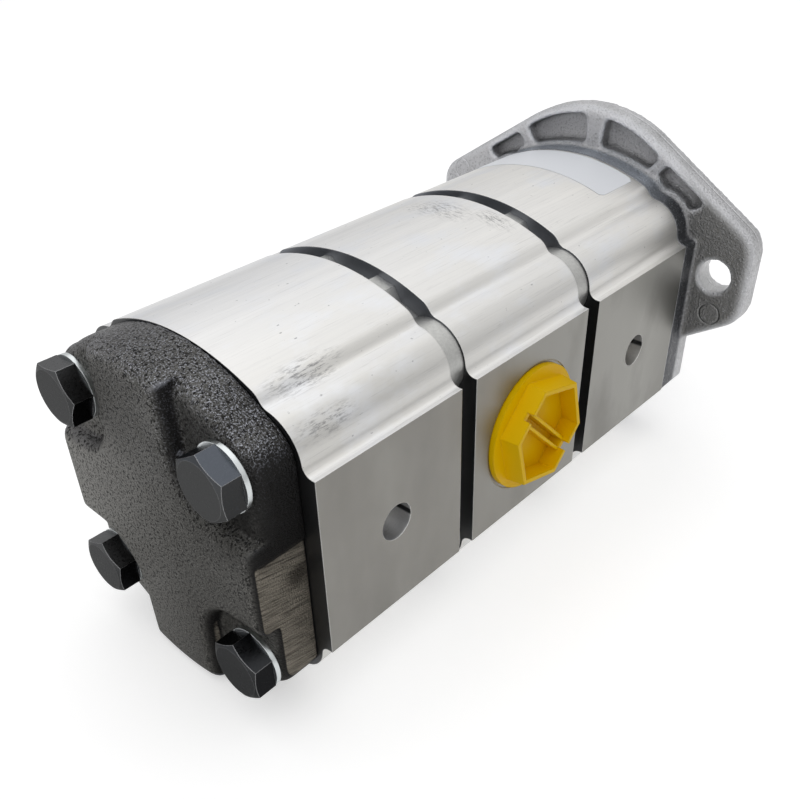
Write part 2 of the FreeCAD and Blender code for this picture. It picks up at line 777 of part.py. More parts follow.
def port_plug():
    """Moulded plug of the suction port: round flange, open hexagonal cup with a slot, hollow stem."""
    x = (middle_body[0] + middle_body[1]) / 2
    seat = flat_half_width - spot_face_depth
    floor = seat + plug_floor
    rim = seat + plug_cup_height
    stem = suction_port_radius - plug_stem_clearance
    wall = plug_cup_wall / math.cos(math.pi / 6)
    taper = (plug_cup_base - plug_cup_rim) / plug_cup_height
    cup = hexagon_frustum(x, seat, rim, plug_cup_base, plug_cup_rim)
    hollow_base = plug_cup_base - wall - taper * plug_floor
    hollow = hexagon_frustum(x, floor, rim, hollow_base, plug_cup_rim - wall)
    rib_top = rim - plug_slot_depth
    outer_rib = plug_slot / 2 + plug_rib
    ribs = slot_bar(x, floor, rib_top, outer_rib, plug_cup_base).common(cup)
    flange = side_disc(x, seat, seat + plug_flange_thickness, plug_flange_radius)
    solid = union([cup.cut(hollow), ribs, flange, side_disc(x, seat - plug_stem_length, seat, stem)])
    slot_reach = plug_cup_rim * math.cos(math.pi / 6) - plug_cup_wall
    cuts = [hexagon_frustum(x, floor, seat + plug_flange_thickness, hollow_base, hollow_base).cut(ribs),
            slot_bar(x, rib_top, rim, plug_slot / 2, flat_half_width),
            slot_bar(x, floor, rib_top, plug_slot / 2, slot_reach),
            side_disc(x, seat - plug_stem_length, seat, stem - plug_stem_wall)]
    return solid.cut(cuts)


def save(name, shapes):
    """Write one node: a single solid, or a group of like solids."""
    shape = shapes if not isinstance(shapes, list) else Part.makeCompound(shapes)
    shape.exportStep("parts/" + name + ".step")


os.makedirs("parts", exist_ok=True)
save("rear_cover", rear_cover())
save("rear_body", pump_body(rear_body, False))
save("middle_body", pump_body(middle_body, True))
save("front_body", pump_body(front_body, False))
save("rear_spacer_plate", spacer_plate(rear_plate))
save("front_spacer_plate", spacer_plate(front_plate))
save("front_cover", front_cover())
save("rear_drive_gear", drive_gear(rear_body, False, True))
save("middle_drive_gear", drive_gear(middle_body, True, True))
save("front_drive_gear", front_drive_gear())
save("rear_coupling", coupling(rear_plate))
save("front_coupling", coupling(front_plate))
for name, span in (("rear", rear_body), ("middle", middle_body), ("front", front_body)):
    save(name + "_driven_gear", driven_gear(span))
    save(name + "_section_rear_block", bearing_block(span, False))
    save(name + "_section_front_block", bearing_block(span, True))
    save(name + "_section_bushes", bushes(span))
    save(name + "_section_balance_seals", [balance_seal(*balance_seal_span(span, end)) for end in (0, 1)])
save("joint_seals", [seal_ring(a, b) for a, b in seal_stations()])
save("clamp_bolts", [clamp_bolt(spot, turn) for spot, turn in zip(bolt_spots, bolt_turns)])
save("bolt_washers", [washer(spot) for spot in bolt_spots])
save("dowel_pins", dowels())
save("shaft_seal", shaft_seal())
save("seal_retaining_ring", retaining_ring())
save("port_plug", port_plug())
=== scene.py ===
import bpy
import math
from mathutils import Matrix, Vector


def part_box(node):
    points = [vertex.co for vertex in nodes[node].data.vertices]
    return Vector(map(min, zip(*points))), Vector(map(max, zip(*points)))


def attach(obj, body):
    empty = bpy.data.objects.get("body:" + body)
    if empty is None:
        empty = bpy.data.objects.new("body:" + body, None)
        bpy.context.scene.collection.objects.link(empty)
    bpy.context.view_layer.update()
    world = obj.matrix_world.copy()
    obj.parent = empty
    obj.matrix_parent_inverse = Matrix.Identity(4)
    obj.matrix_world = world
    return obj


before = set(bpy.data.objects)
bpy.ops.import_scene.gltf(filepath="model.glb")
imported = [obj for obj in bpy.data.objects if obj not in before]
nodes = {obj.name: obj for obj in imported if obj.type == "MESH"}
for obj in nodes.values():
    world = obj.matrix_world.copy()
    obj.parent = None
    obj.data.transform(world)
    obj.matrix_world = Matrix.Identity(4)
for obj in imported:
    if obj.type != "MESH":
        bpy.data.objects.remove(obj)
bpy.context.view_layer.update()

# Camera: close over the rear corner of the pump on its suction side, looking down on the rear cover
# and along the bodies. Its place is fitted to the corners of the milled sides and to the bolt heads.
camera_place = Vector((-0.28262, -0.16464, 0.12830))
camera_azimuth = math.radians(-46.29)
camera_elevation = math.radians(36.47)
camera_roll = math.radians(-2.01)
camera_lens = 40.01
camera_sensor = 36
camera_shift_right = 0.0059
camera_shift_up = 0.0854
camera_near = 0.01

backwards = Vector((math.sin(camera_azimuth) * math.cos(camera_elevation),
                    -math.cos(camera_azimuth) * math.cos(camera_elevation), math.sin(camera_elevation)))
level_right = Vector((0, 0, 1)).cross(backwards).normalized()
level_up = backwards.cross(level_right)
picture_right = level_right * math.cos(camera_roll) + level_up * math.sin(camera_roll)
picture_up = level_up * math.cos(camera_roll) - level_right * math.sin(camera_roll)
camera = bpy.data.objects.new("camera", bpy.data.cameras.new("camera"))
camera.data.lens = camera_lens
camera.data.sensor_width = camera_sensor
camera.data.shift_x = camera_shift_right
camera.data.shift_y = camera_shift_up
camera.data.clip_start = camera_near
camera.matrix_world = (Matrix.Translation(camera_place)
                       @ Matrix((picture_right, picture_up, backwards)).transposed().to_4x4())
bpy.context.scene.collection.objects.link(camera)
bpy.context.scene.camera = camera
bpy.context.scene.view_settings.view_transform = "Standard"

# Floor and studio: a sheet of white board under the pump, a wide soft box overhead and a smaller
# one above and behind the camera. The board and the room look whiter, to the eye and in the metal,
# than the light that they give.
floor_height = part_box("middle_body")[0][2]
floor_reach = 30.0
board_corners = 24
board_white = (0.86, 0.86, 0.86, 1)
board_lift = 0.40
plain_white = (1, 1, 1, 1)
room_low = 0.35
room_high = 0.98
room_share = 0.6
room_horizon = (-0.1, 0.45)


def add_node(tree, kind, inputs=None, **settings):
    """A shader node with its settings made and its inputs set or linked."""
    made = tree.nodes.new("ShaderNode" + kind)
    for name, value in settings.items():
        setattr(made, name, value)
    for key, value in (inputs or {}).items():
        if isinstance(value, bpy.types.NodeSocket):
            tree.links.new(value, made.inputs[key])
        else:
            made.inputs[key].default_value = value
    return made


def calculate(tree, operation, first, second=0.0):
    """One arithmetic step on two numbers of the material."""
    return add_node(tree, "Math", {0: first, 1: second}, operation=operation).outputs[0]


def product(tree, first, *others):
    """Several shares multiplied together."""
    for other in others:
        first = calculate(tree, "MULTIPLY", first, other)
    return first


def ramp(tree, value, none, full):
    """0 up to where the value reaches the first number, 1 from the second, and even in between."""
    made = add_node(tree, "MapRange", {"Value": value, "From Min": none, "From Max": full}, clamp=True)
    return made.outputs["Result"]


def scale_and_shift(tree, share, at_none, at_full):
    """The first number where the share is 0 and the second where it is 1."""
    made = add_node(tree, "Math", {0: share, 1: at_full - at_none, 2: at_none}, operation="MULTIPLY_ADD")
    return made.outputs[0]


def seen_ray(tree):
    """1 where the camera sees something, directly or in a gloss or glass, and 0 for light that bounces."""
    path = add_node(tree, "LightPath")
    shiny = calculate(tree, "MAXIMUM", path.outputs["Is Glossy Ray"], path.outputs["Is Transmission Ray"])
    return calculate(tree, "MAXIMUM", path.outputs["Is Camera Ray"], shiny)


def make_object(name, points, faces):
    """A mesh object from points in metres and faces by point number."""
    mesh = bpy.data.meshes.new(name)
    mesh.from_pydata([tuple(point) for point in points], [], faces)
    mesh.update()
    made = bpy.data.objects.new(name, mesh)
    bpy.context.scene.collection.objects.link(made)
    return made


def soft_box(name, place, target, width, height, power):
    """A rectangular studio lamp that faces the target."""
    lamp = bpy.data.lights.new(name, "AREA")
    lamp.shape = "RECTANGLE"
    lamp.size = width
    lamp.size_y = height
    lamp.energy = power
    holder = bpy.data.objects.new(name, lamp)
    aim = Vector(target) - Vector(place)
    holder.matrix_world = Matrix.Translation(place) @ aim.to_track_quat("-Z", "Y").to_matrix().to_4x4()
    bpy.context.scene.collection.objects.link(holder)


board_turns = [2 * math.pi * k / board_corners for k in range(board_corners)]
board_points = [(0, 0, floor_height)] + [
    (floor_reach * math.cos(turn), floor_reach * math.sin(turn), floor_height) for turn in board_turns]
board_faces = [(0, k + 1, (k + 1) % board_corners + 1) for k in range(board_corners)]
board = make_object("white_board", board_points, board_faces)
board_material = bpy.data.materials.new("white_board")
board_material.use_nodes = True
board_tree = board_material.node_tree
board_tree.nodes.remove(board_tree.nodes["Principled BSDF"])
board_paint = add_node(board_tree, "BsdfDiffuse", {"Color": board_white})
lift = calculate(board_tree, "MULTIPLY", seen_ray(board_tree), board_lift)
board_glow = add_node(board_tree, "Emission", {"Color": plain_white, "Strength": lift})
board_sum = add_node(board_tree, "AddShader", {0: board_paint.outputs[0], 1: board_glow.outputs[0]})
board_tree.links.new(board_sum.outputs[0], board_tree.nodes["Material Output"].inputs["Surface"])
board.data.materials.append(board_material)

world = bpy.data.worlds.new("studio")
world.use_nodes = True
bpy.context.scene.world = world
world_tree = world.node_tree
direction = add_node(world_tree, "SeparateXYZ", {0: add_node(world_tree, "TexCoord").outputs["Generated"]})
height_share = ramp(world_tree, direction.outputs[2], *room_horizon)
room_level = scale_and_shift(world_tree, height_share, room_low, room_high)
ray_share = scale_and_shift(world_tree, seen_ray(world_tree), room_share, 1.0)
room_strength = calculate(world_tree, "MULTIPLY", room_level, ray_share)
world_tree.links.new(room_strength, world_tree.nodes["Background"].inputs["Strength"])
world_tree.nodes["Background"].inputs["Color"].default_value = plain_white

soft_box("overhead_box", place=(-0.15, 0.15, 1.1), target=(-0.08, 0, 0), width=2.0, height=1.8, power=6.0)
soft_box("side_box", place=(-0.9, -0.5, 0.7), target=(-0.1, 0, 0), width=0.7, height=0.5, power=1.0)

# Pump bodies: three lengths of extruded aluminium, sawn to length and milled on both flat sides.
# The skin is silvery with fine die lines along it, and scuffed in a few places by handling.
skin_silver = (0.82, 0.82, 0.825, 1)
skin_warm = (0.79, 0.775, 0.745, 1)
skin_shade = (0.50, 0.50, 0.50, 1)
skin_painted_shade = (0.62, 0.61, 0.585, 1)
skin_cool = (0.70, 0.715, 0.75, 1)
skin_line = (0.38, 0.375, 0.37, 1)
milled_rear = (0.235, 0.228, 0.212, 1)
milled_front = (0.31, 0.305, 0.285, 1)
milled_light = (0.28, 0.275, 0.255, 1)
milled_shade = (0.20, 0.195, 0.18, 1)
sawn_end_painted_shade = (0.065, 0.066, 0.068, 1)
sawn_end_painted_light = (0.24, 0.25, 0.275, 1)
edge_painted_highlight = (0.80, 0.80, 0.78, 1)
scuff_dark = (0.10, 0.10, 0.11, 1)
rear_to_front = (-150, -30)
shoulder_shade_fade = (10, -150)
flange_shadow = (-36, -18)
lit_top_height = (19, 26)
lit_top_start = (-181, -176)
deburred = 0.0004
edge_glint = 0.0003
# Each scuff has a centre and a reach in millimetres.
# The first kind runs along the pump, the second across it.
scuffs_along = (((-169, -28, 25), (15, 4.5, 6)), ((-173, -38.5, 18), (12, 2.8, 6)),
                ((-108, -43, 19), (15, 4, 2.5)))
scuffs_across = (((-85, 3, 32), (8, 14, 5)), ((-79, -13, 31), (5, 9, 5)))
along_stretch = (0.3, 1.7, 1.7)
across_stretch = (2.2, 0.4, 1.2)


def millimetres(tree):
    """Place on the piece in millimetres, the same for every view and pose."""
    place = add_node(tree, "TexCoord").outputs["Object"]
    return add_node(tree, "VectorMath", {0: place, 1: (1000, 1000, 1000)}, operation="MULTIPLY").outputs[0]


def three_parts(tree, value):
    """The x, y and z of a place or a direction."""
    return add_node(tree, "SeparateXYZ", {0: value}).outputs


def surface_normal(tree):
    """The three parts of the surface's own direction, whatever the pose."""
    return three_parts(tree, add_node(tree, "TexCoord").outputs["Normal"])


def stretched(tree, place, x=1.0, y=1.0, z=1.0):
    """The place squeezed along each axis, so that a number under 1 draws the pattern out into streaks."""
    return add_node(tree, "VectorMath", {0: place, 1: (x, y, z)}, operation="MULTIPLY").outputs[0]


def noise(tree, place, per_millimetre, detail=3.0, rough=0.55):
    """Cloudy variation from 0 to 1, with so many features in each millimetre."""
    made = add_node(tree, "TexNoise", {"Vector": place, "Scale": per_millimetre, "Detail": detail,
                                       "Roughness": rough})
    return made.outputs["Fac"]


def blend_colours(tree, share, first, second):
    """The first colour where share is 0 and the second where it is 1."""
    return add_node(tree, "Mix", {"Factor": share, 6: first, 7: second}, data_type="RGBA").outputs[2]


def tint(tree, colour, other, share, most=1.0):
    """The colour with another one laid over it by the share, at most as strongly as stated."""
    if most != 1.0:
        share = calculate(tree, "MULTIPLY", share, most)
    return blend_colours(tree, share, colour, other)


def near_spot(tree, place, centre, reach):
    """1 at a spot on the piece, fading to 0 at the given reach along each axis."""
    offset = add_node(tree, "VectorMath", {0: place, 1: centre}, operation="SUBTRACT").outputs[0]
    scaled = add_node(tree, "VectorMath", {0: offset, 1: reach}, operation="DIVIDE").outputs[0]
    distance = add_node(tree, "VectorMath", {0: scaled}, operation="LENGTH").outputs["Value"]
    return ramp(tree, distance, 1.0, 0.3)


def edge_wear_and_painted_light(tree, radius):
    """1 along the corners of a piece and 0 on its faces, from a corner rounded by the given radius."""
    rounded = add_node(tree, "Bevel", {"Radius": radius}, samples=4).outputs[0]
    own = add_node(tree, "NewGeometry").outputs["Normal"]
    likeness = add_node(tree, "VectorMath", {0: rounded, 1: own}, operation="DOT_PRODUCT").outputs["Value"]
    return ramp(tree, likeness, 0.995, 0.90)


def start_material(name, colour, metallic, roughness):
    """A material with its shader's own values set, to which detail is then linked."""
    material = bpy.data.materials.new(name)
    material.use_nodes = True
    shader = material.node_tree.nodes["Principled BSDF"]
    shader.inputs["Base Color"].default_value = colour
    shader.inputs["Metallic"].default_value = metallic
    shader.inputs["Roughness"].default_value = roughness
    return material, material.node_tree, shader


def raise_surface(tree, shader, height, distance, strength=0.5, edge=0.0):
    """Bump from a height value, over edges rounded by the bevel of a deburred piece."""
    inputs = {"Height": height, "Distance": distance, "Strength": strength}
    if edge:
        inputs["Normal"] = add_node(tree, "Bevel", {"Radius": edge}, samples=4).outputs[0]
    bump = add_node(tree, "Bump", inputs)
    tree.links.new(bump.outputs[0], shader.inputs["Normal"])


def dress(names, material):
    """Gives each named CAD node the material."""
    for name in names:
        slots = nodes[name].data.materials
        slots.clear()
        slots.append(material)


extruded, tree, shader = start_material("extruded_aluminium", skin_silver, metallic=1.0, roughness=0.41)
place = millimetres(tree)
x, _, z = three_parts(tree, place)
normal_x, normal_y, _ = surface_normal(tree)
flat_side = ramp(tree, calculate(tree, "ABSOLUTE", normal_y), 0.995, 0.999)
sawn_end = ramp(tree, calculate(tree, "ABSOLUTE", normal_x), 0.98, 0.995)
towards_front = ramp(tree, x, *rear_to_front)

die_lines = noise(tree, stretched(tree, place, x=0.01), per_millimetre=1.6, detail=4.0, rough=0.6)
fine_lines = noise(tree, stretched(tree, place, x=0.02), per_millimetre=3.2, detail=5.0, rough=0.7)
broad_bands = noise(tree, stretched(tree, place, x=0.006), per_millimetre=0.10, detail=2.0)
cool_patches = noise(tree, stretched(tree, place, x=0.5), per_millimetre=0.09, detail=4.0, rough=0.6)
nicks = noise(tree, stretched(tree, place, x=0.6), per_millimetre=0.8, detail=2.0, rough=0.5)
# Painted shade: the skin is darker where it turns towards -Y, most at the rear and fading out towards the
# front.
shoulder_painted_shade = product(tree, ramp(tree, normal_y, 0.1, -0.5), ramp(tree, x, *shoulder_shade_fade))
skin = tint(tree, skin_silver, skin_warm, towards_front)
skin = tint(tree, skin, skin_painted_shade, shoulder_painted_shade)
skin = tint(tree, skin, skin_shade, ramp(tree, broad_bands, 0.4, 0.8), 0.4)
skin = tint(tree, skin, skin_shade, ramp(tree, die_lines, 0.5, 0.85), 0.3)
skin = tint(tree, skin, skin_cool, ramp(tree, cool_patches, 0.5, 0.7), 0.7)
skin = tint(tree, skin, skin_line, ramp(tree, fine_lines, 0.56, 0.72), 0.45)
skin = tint(tree, skin, scuff_dark, ramp(tree, nicks, 0.72, 0.80), 0.7)
for scuffs, stretch in ((scuffs_along, along_stretch), (scuffs_across, across_stretch)):
    streaks = noise(tree, stretched(tree, place, *stretch), per_millimetre=0.9, detail=6.0, rough=0.78)
    rubbed = ramp(tree, streaks, 0.49, 0.60)
    for centre, reach in scuffs:
        skin = tint(tree, skin, scuff_dark, product(tree, near_spot(tree, place, centre, reach), rubbed), 0.7)

clouds = noise(tree, stretched(tree, place, z=0.5), per_millimetre=0.06)
# The milled sides are darker than the skin: partly their own milled finish, partly painted shade on upright
# sides that take less light than the top.
milled = tint(tree, milled_rear, milled_front, towards_front)
milled = tint(tree, milled, milled_light, ramp(tree, clouds, 0.5, 0.75), 0.7)
milled = tint(tree, milled, milled_shade, ramp(tree, clouds, 0.48, 0.25), 0.7)
milled = tint(tree, milled, milled_shade, ramp(tree, x, *flange_shadow), 0.6)

# Painted shade and light on the sawn ends: dark between the parts, lighter towards the top of the ends in
# front of the rear one.
lit_top_share = product(tree, ramp(tree, z, *lit_top_height), ramp(tree, x, *lit_top_start))
sawn = tint(tree, sawn_end_painted_shade, sawn_end_painted_light, lit_top_share)
colour = tint(tree, skin, milled, flat_side)
colour = tint(tree, colour, sawn, sawn_end)
# Painted highlight along the corners of the bodies.
colour = tint(tree, colour, edge_painted_highlight, edge_wear_and_painted_light(tree, edge_glint), 0.6)
tree.links.new(colour, shader.inputs["Base Color"])
milling = noise(tree, stretched(tree, place, z=0.08), per_millimetre=2.4)
raise_surface(tree, shader, calculate(tree, "ADD", product(tree, flat_side, milling), die_lines),
              distance=0.00001, strength=0.6, edge=deburred)
dress(["rear_body", "middle_body", "front_body"], extruded)

# Label: a blank sheet of white film, stuck on the arch of the front body beside the flange.
# It is a tenth of a millimetre thick, with rounded corners. Its sizes here are in millimetres.
film_white = (0.74, 0.76, 0.80, 1)
label_rear = -36.4
label_front = -17.2
label_right = -23.5
label_left = 27.0
glue_line = 0.02
label_lift = 0.12
label_corner = 1.6
label_columns = 40
arch_centre_height = -33.2
arch_radius = 66.0


def on_arch(along, around, lift):
    """The place on the arch, in metres, of a point of the flat label."""
    turn = math.asin(label_right / arch_radius) + around / arch_radius
    radius = arch_radius + lift
    height = arch_centre_height + radius * math.cos(turn)
    return (along / 1000, radius * math.sin(turn) / 1000, height / 1000)


half_wide = arch_radius * (math.asin(label_left / arch_radius) - math.asin(label_right / arch_radius)) / 2
label_points = []
label_faces = []
for column in range(label_columns + 1):
    around = -half_wide + 2 * half_wide * column / label_columns
    inside = max(0.0, abs(around) - (half_wide - label_corner))
    pull = label_corner - math.sqrt(max(0.0, label_corner ** 2 - inside ** 2))
    for along in (label_rear + pull, label_front - pull):
        for lift in (glue_line, label_lift):
            label_points.append(on_arch(along, half_wide + around, lift))
for column in range(label_columns):
    a, b = 4 * column, 4 * column + 4
    label_faces += [(a + 1, b + 1, b + 3, a + 3), (a, a + 2, b + 2, b),
                    (a, b, b + 1, a + 1), (a + 2, a + 3, b + 3, b + 2)]
last = 4 * label_columns
label_faces += [(0, 1, 3, 2), (last, last + 2, last + 3, last + 1)]
label = make_object("blank_label", label_points, label_faces)
film, tree, shader = start_material("white_film", film_white, metallic=0.0, roughness=0.45)
raise_surface(tree, shader, noise(tree, millimetres(tree), per_millimetre=0.6), distance=0.00002)
label.data.materials.append(film)
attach(label, "housing")

# Spacer plates: flat aluminium castings between the bodies, set in from them except on their ears
# and pads. The cast edge is pale and a little rough.
plate_pale = (0.50, 0.50, 0.485, 1)
plate_shadow = (0.40, 0.40, 0.39, 1)
plate_edge_painted_shade = (0.10, 0.105, 0.11, 1)
plate_edge_width = 0.0004
plate_rounding = 0.0003

plate_metal, tree, shader = start_material("plate_aluminium", plate_pale, metallic=1.0, roughness=0.45)
grain = noise(tree, millimetres(tree), per_millimetre=1.2, detail=5.0, rough=0.7)
cast_edge_and_shade = blend_colours(tree, ramp(tree, grain, 0.4, 0.75), plate_pale, plate_shadow)
# Painted shade along the plate's corners, where they meet the bodies.
cast_edge_and_shade = tint(tree, cast_edge_and_shade, plate_edge_painted_shade, edge_wear_and_painted_light(tree, plate_edge_width), 0.8)
tree.links.new(cast_edge_and_shade, shader.inputs["Base Color"])
raise_surface(tree, shader, grain, distance=0.00006, strength=0.8, edge=plate_rounding)
dress(["rear_spacer_plate", "front_spacer_plate"], plate_metal)

# Front cover: a grey aluminium casting, shot-blasted all over, with the mounting flange, its ribs
# and pockets, and the neck that closes the front body. Its front faces are turned in a lathe.
blasted_grey = (0.54, 0.54, 0.555, 1)
blasted_dark = (0.36, 0.36, 0.365, 1)
back_painted_reflection = (0.50, 0.50, 0.515, 1)
back_painted_shade = (0.185, 0.185, 0.182, 1)
blasted_painted_glint = (0.85, 0.86, 0.90, 1)
blasted_pits_and_painted_shade = (0.16, 0.16, 0.165, 1)
neck_blue = (0.36, 0.39, 0.44, 1)
neck_dark = (0.06, 0.063, 0.07, 1)
hole_painted_reflection = (0.74, 0.74, 0.74, 1)
turned_light = (0.66, 0.66, 0.655, 1)
turned_dark = (0.46, 0.46, 0.455, 1)
front_cover_voxel = 0.0007
front_cover_rounds = 4
lobe_shade_side = (-33, -43)
neck_start = (-7.2, -9.2)
neck_shade_side = (-25, -36)
joint_shade = (1.8, 0.5)
turned_start = (-1.5, -0.6)
crest_highlight_start = (-12, -9.5)
flange_hole_middle = -4.5
flange_hole_side = 53.2
flange_hole_reach = (40, 9, 9)
parting_line = -3.4
parting_width = (0.45, 0.1)
parting_depth = 0.8
lobe_ring_width = (0.5, 0.0)
lobe_ring_depth = 0.6
# Round marks of the mould, one on each lobe: centre and radius in millimetres.
lobe_rings = (((-9, -54.0, -13.3), 3.6), ((-9, 54.8, 15.2), 3.6))

cast_aluminium, tree, shader = start_material("cast_aluminium", blasted_grey, metallic=1.0, roughness=0.33)
place = millimetres(tree)
x, y, z = three_parts(tree, place)
normal_x = surface_normal(tree)[0]
grain = noise(tree, place, per_millimetre=1.5, rough=0.7)
tone = noise(tree, place, per_millimetre=0.06)
bend = add_node(tree, "NewGeometry").outputs["Pointiness"]
facing_back = ramp(tree, normal_x, -0.55, -0.93)
facing_out = ramp(tree, calculate(tree, "ABSOLUTE", normal_x), 0.8, 0.3)
facing_front = product(tree, ramp(tree, normal_x, 0.93, 0.98), ramp(tree, x, *turned_start))

blasted = blend_colours(tree, ramp(tree, tone, 0.35, 0.7), blasted_grey, blasted_dark)
# Painted reflection and shade on the faces turned to the rear: light on the +Y side, dark on the -Y lobe.
back = blend_colours(tree, ramp(tree, y, *lobe_shade_side), back_painted_reflection, back_painted_shade)
blasted = tint(tree, blasted, back, facing_back)
body_joint = 1000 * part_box("front_body")[1][0]
beside_joint = ramp(tree, x, *(body_joint + step for step in joint_shade))
neck = blend_colours(tree, ramp(tree, y, *neck_shade_side), neck_blue, neck_dark)
neck = tint(tree, neck, neck_dark, beside_joint, 0.8)
blasted = tint(tree, blasted, neck, product(tree, ramp(tree, x, *neck_start), facing_out))
blasted = tint(tree, blasted, blasted_pits_and_painted_shade, ramp(tree, grain, 0.47, 0.33), 0.6)
# Painted glints on the grain, left off the faces turned to the rear.
lit_specks = product(tree, ramp(tree, grain, 0.58, 0.72), ramp(tree, facing_back, 1.6, 0.0))
blasted = tint(tree, blasted, blasted_painted_glint, lit_specks, 0.6)

from_shaft = add_node(tree, "VectorMath", {0: add_node(tree, "CombineXYZ", {"Y": y, "Z": z}).outputs[0]},
                      operation="LENGTH").outputs["Value"]
outwards = add_node(tree, "CombineXYZ", {"X": from_shaft}).outputs[0]
tool_marks = noise(tree, outwards, per_millimetre=2.2, rough=0.6)
blasted = tint(tree, blasted, blend_colours(tree, tool_marks, turned_dark, turned_light), facing_front)
# Painted highlight along the convex crests of the flange.
crest_painted_highlight = product(tree, ramp(tree, bend, 0.509, 0.55), ramp(tree, x, *crest_highlight_start))
blasted = tint(tree, blasted, blasted_painted_glint, crest_painted_highlight, 0.65)
# Painted shade in the concave hollows of the casting.
blasted = tint(tree, blasted, blasted_pits_and_painted_shade, ramp(tree, bend, 0.490, 0.45), 0.75)
# Painted reflection on the walls of the two mounting holes.
for side in (-flange_hole_side, flange_hole_side):
    hole = near_spot(tree, place, (flange_hole_middle, side, 0), flange_hole_reach)
    blasted = tint(tree, blasted, hole_painted_reflection, product(tree, hole, facing_out))
tree.links.new(blasted, shader.inputs["Base Color"])

from_parting = calculate(tree, "ABSOLUTE", calculate(tree, "SUBTRACT", x, parting_line))
parting = product(tree, ramp(tree, from_parting, *parting_width), facing_out)
height = calculate(tree, "SUBTRACT", grain, product(tree, parting, parting_depth))
for centre, radius in lobe_rings:
    offset = add_node(tree, "VectorMath", {0: place, 1: centre}, operation="SUBTRACT").outputs[0]
    reach = add_node(tree, "VectorMath", {0: offset}, operation="LENGTH").outputs["Value"]
    from_ring = calculate(tree, "ABSOLUTE", calculate(tree, "SUBTRACT", reach, radius))
    ring = product(tree, ramp(tree, from_ring, *lobe_ring_width), lobe_ring_depth)
    height = calculate(tree, "SUBTRACT", height, ring)
raise_surface(tree, shader, height, distance=0.0007, strength=0.9)


def soften_casting(name, voxel, rounds):
    """Rounds the edges and corners of a casting all over, as its mould leaves them."""
    remesh = nodes[name].modifiers.new("cast_skin", "REMESH")
    remesh.mode = "VOXEL"
    remesh.voxel_size = voxel
    remesh.use_smooth_shade = True
    smooth = nodes[name].modifiers.new("cast_edges", "SMOOTH")
    smooth.factor = 0.5
    smooth.iterations = rounds


dress(["front_cover"], cast_aluminium)
soften_casting("front_cover", front_cover_voxel, front_cover_rounds)

# Rear cover: grey iron cast in sand and left dark, with a coarse grain that has painted sparkle. The gate on
# one side was ground off in slanting strokes that show bare metal.
iron_dark = (0.098, 0.096, 0.090, 1)
iron_light = (0.145, 0.143, 0.136, 1)
iron_low = (0.078, 0.076, 0.070, 1)
iron_painted_light = (0.33, 0.325, 0.31, 1)
iron_painted_shade = (0.016, 0.0155, 0.0155, 1)
iron_pits_and_painted_shade = (0.022, 0.0215, 0.021, 1)
iron_painted_sparkle = (0.60, 0.62, 0.70, 1)
iron_painted_top_light = (0.19, 0.187, 0.187, 1)
ground_light = (0.24, 0.218, 0.182, 1)
ground_dark = (0.045, 0.040, 0.034, 1)
dark_metal_sheen = (0.5, 0.5, 0.5, 1)
rear_cover_voxel = 0.0006
rear_cover_rounds = 5
low_end = (15, -45)
far_end = (-12, 42)
far_top = (28, 4)
top_far_end = (-10, 25)
sparkle_near_end = (55, -25)
sparkle_height = (-4, 10)
crest_far_end = (-42, -18)
gate_top = -8.0
gate_ragged = 2.0
gate_fade = (1.6, 0.6)
stroke_slant = math.radians(-12)
# Darker places: centre and reach in millimetres. The one in the pocket is painted shade.
pocket_painted_shade = ((-190, -31, 9), (26, 26, 26))
darker_patch = ((-198, 8, 16), (30, 22, 15))
darker_stroke_patch = ((-186, -39, -18), (4.5, 6, 4.5))

cast_iron, tree, shader = start_material("cast_iron", iron_dark, metallic=1.0, roughness=0.36)
shader.inputs["Specular Tint"].default_value = dark_metal_sheen
place = millimetres(tree)
_, y, z = three_parts(tree, place)
normal_x, normal_y, normal_z = surface_normal(tree)
grain = noise(tree, place, per_millimetre=1.2, rough=0.7)
sand = noise(tree, place, per_millimetre=2.4, rough=0.7)
tone = noise(tree, place, per_millimetre=0.12)
bend = add_node(tree, "NewGeometry").outputs["Pointiness"]
facing_rear = ramp(tree, normal_x, -0.7, -0.95)
facing_side = ramp(tree, normal_y, -0.3, -0.9)
facing_up = ramp(tree, normal_z, 0.25, 0.8)

iron = blend_colours(tree, ramp(tree, tone, 0.35, 0.7), iron_dark, iron_light)
iron = tint(tree, iron, iron_low, ramp(tree, z, *low_end))
# Painted light and reflection on the faces turned to the rear on the +Y side below the top, and painted
# glints on the sand grain of all rear faces.
painted_light_share = product(tree, ramp(tree, y, *far_end), ramp(tree, z, *far_top), facing_rear)
iron = tint(tree, iron, iron_painted_light, painted_light_share, 0.8)
# Painted shade on the faces turned towards -Y.
iron = tint(tree, iron, iron_painted_shade, facing_side)
iron = tint(tree, iron, iron_painted_light, product(tree, ramp(tree, sand, 0.53, 0.64), facing_rear), 0.45)
iron = tint(tree, iron, iron_low, near_spot(tree, place, *darker_patch), 0.5)
# Painted light on the upward faces, towards the +Y side.
iron = tint(tree, iron, iron_painted_top_light, product(tree, facing_up, ramp(tree, y, *top_far_end)))
iron = tint(tree, iron, iron_pits_and_painted_shade, ramp(tree, grain, 0.50, 0.40))
# Painted sparkle on the sand grain, most on upward faces on the -Y side, above mid height.
sparkle_share = product(tree, ramp(tree, facing_up, -0.25, 1.3), ramp(tree, y, *sparkle_near_end),
                      ramp(tree, z, *sparkle_height))
iron = tint(tree, iron, iron_painted_sparkle, product(tree, ramp(tree, sand, 0.52, 0.66), sparkle_share))
# Painted highlight along the crests, left off the -Y side.
crest_painted_highlight = product(tree, ramp(tree, bend, 0.515, 0.56), ramp(tree, y, *crest_far_end))
iron = tint(tree, iron, iron_painted_sparkle, crest_painted_highlight, 0.35)
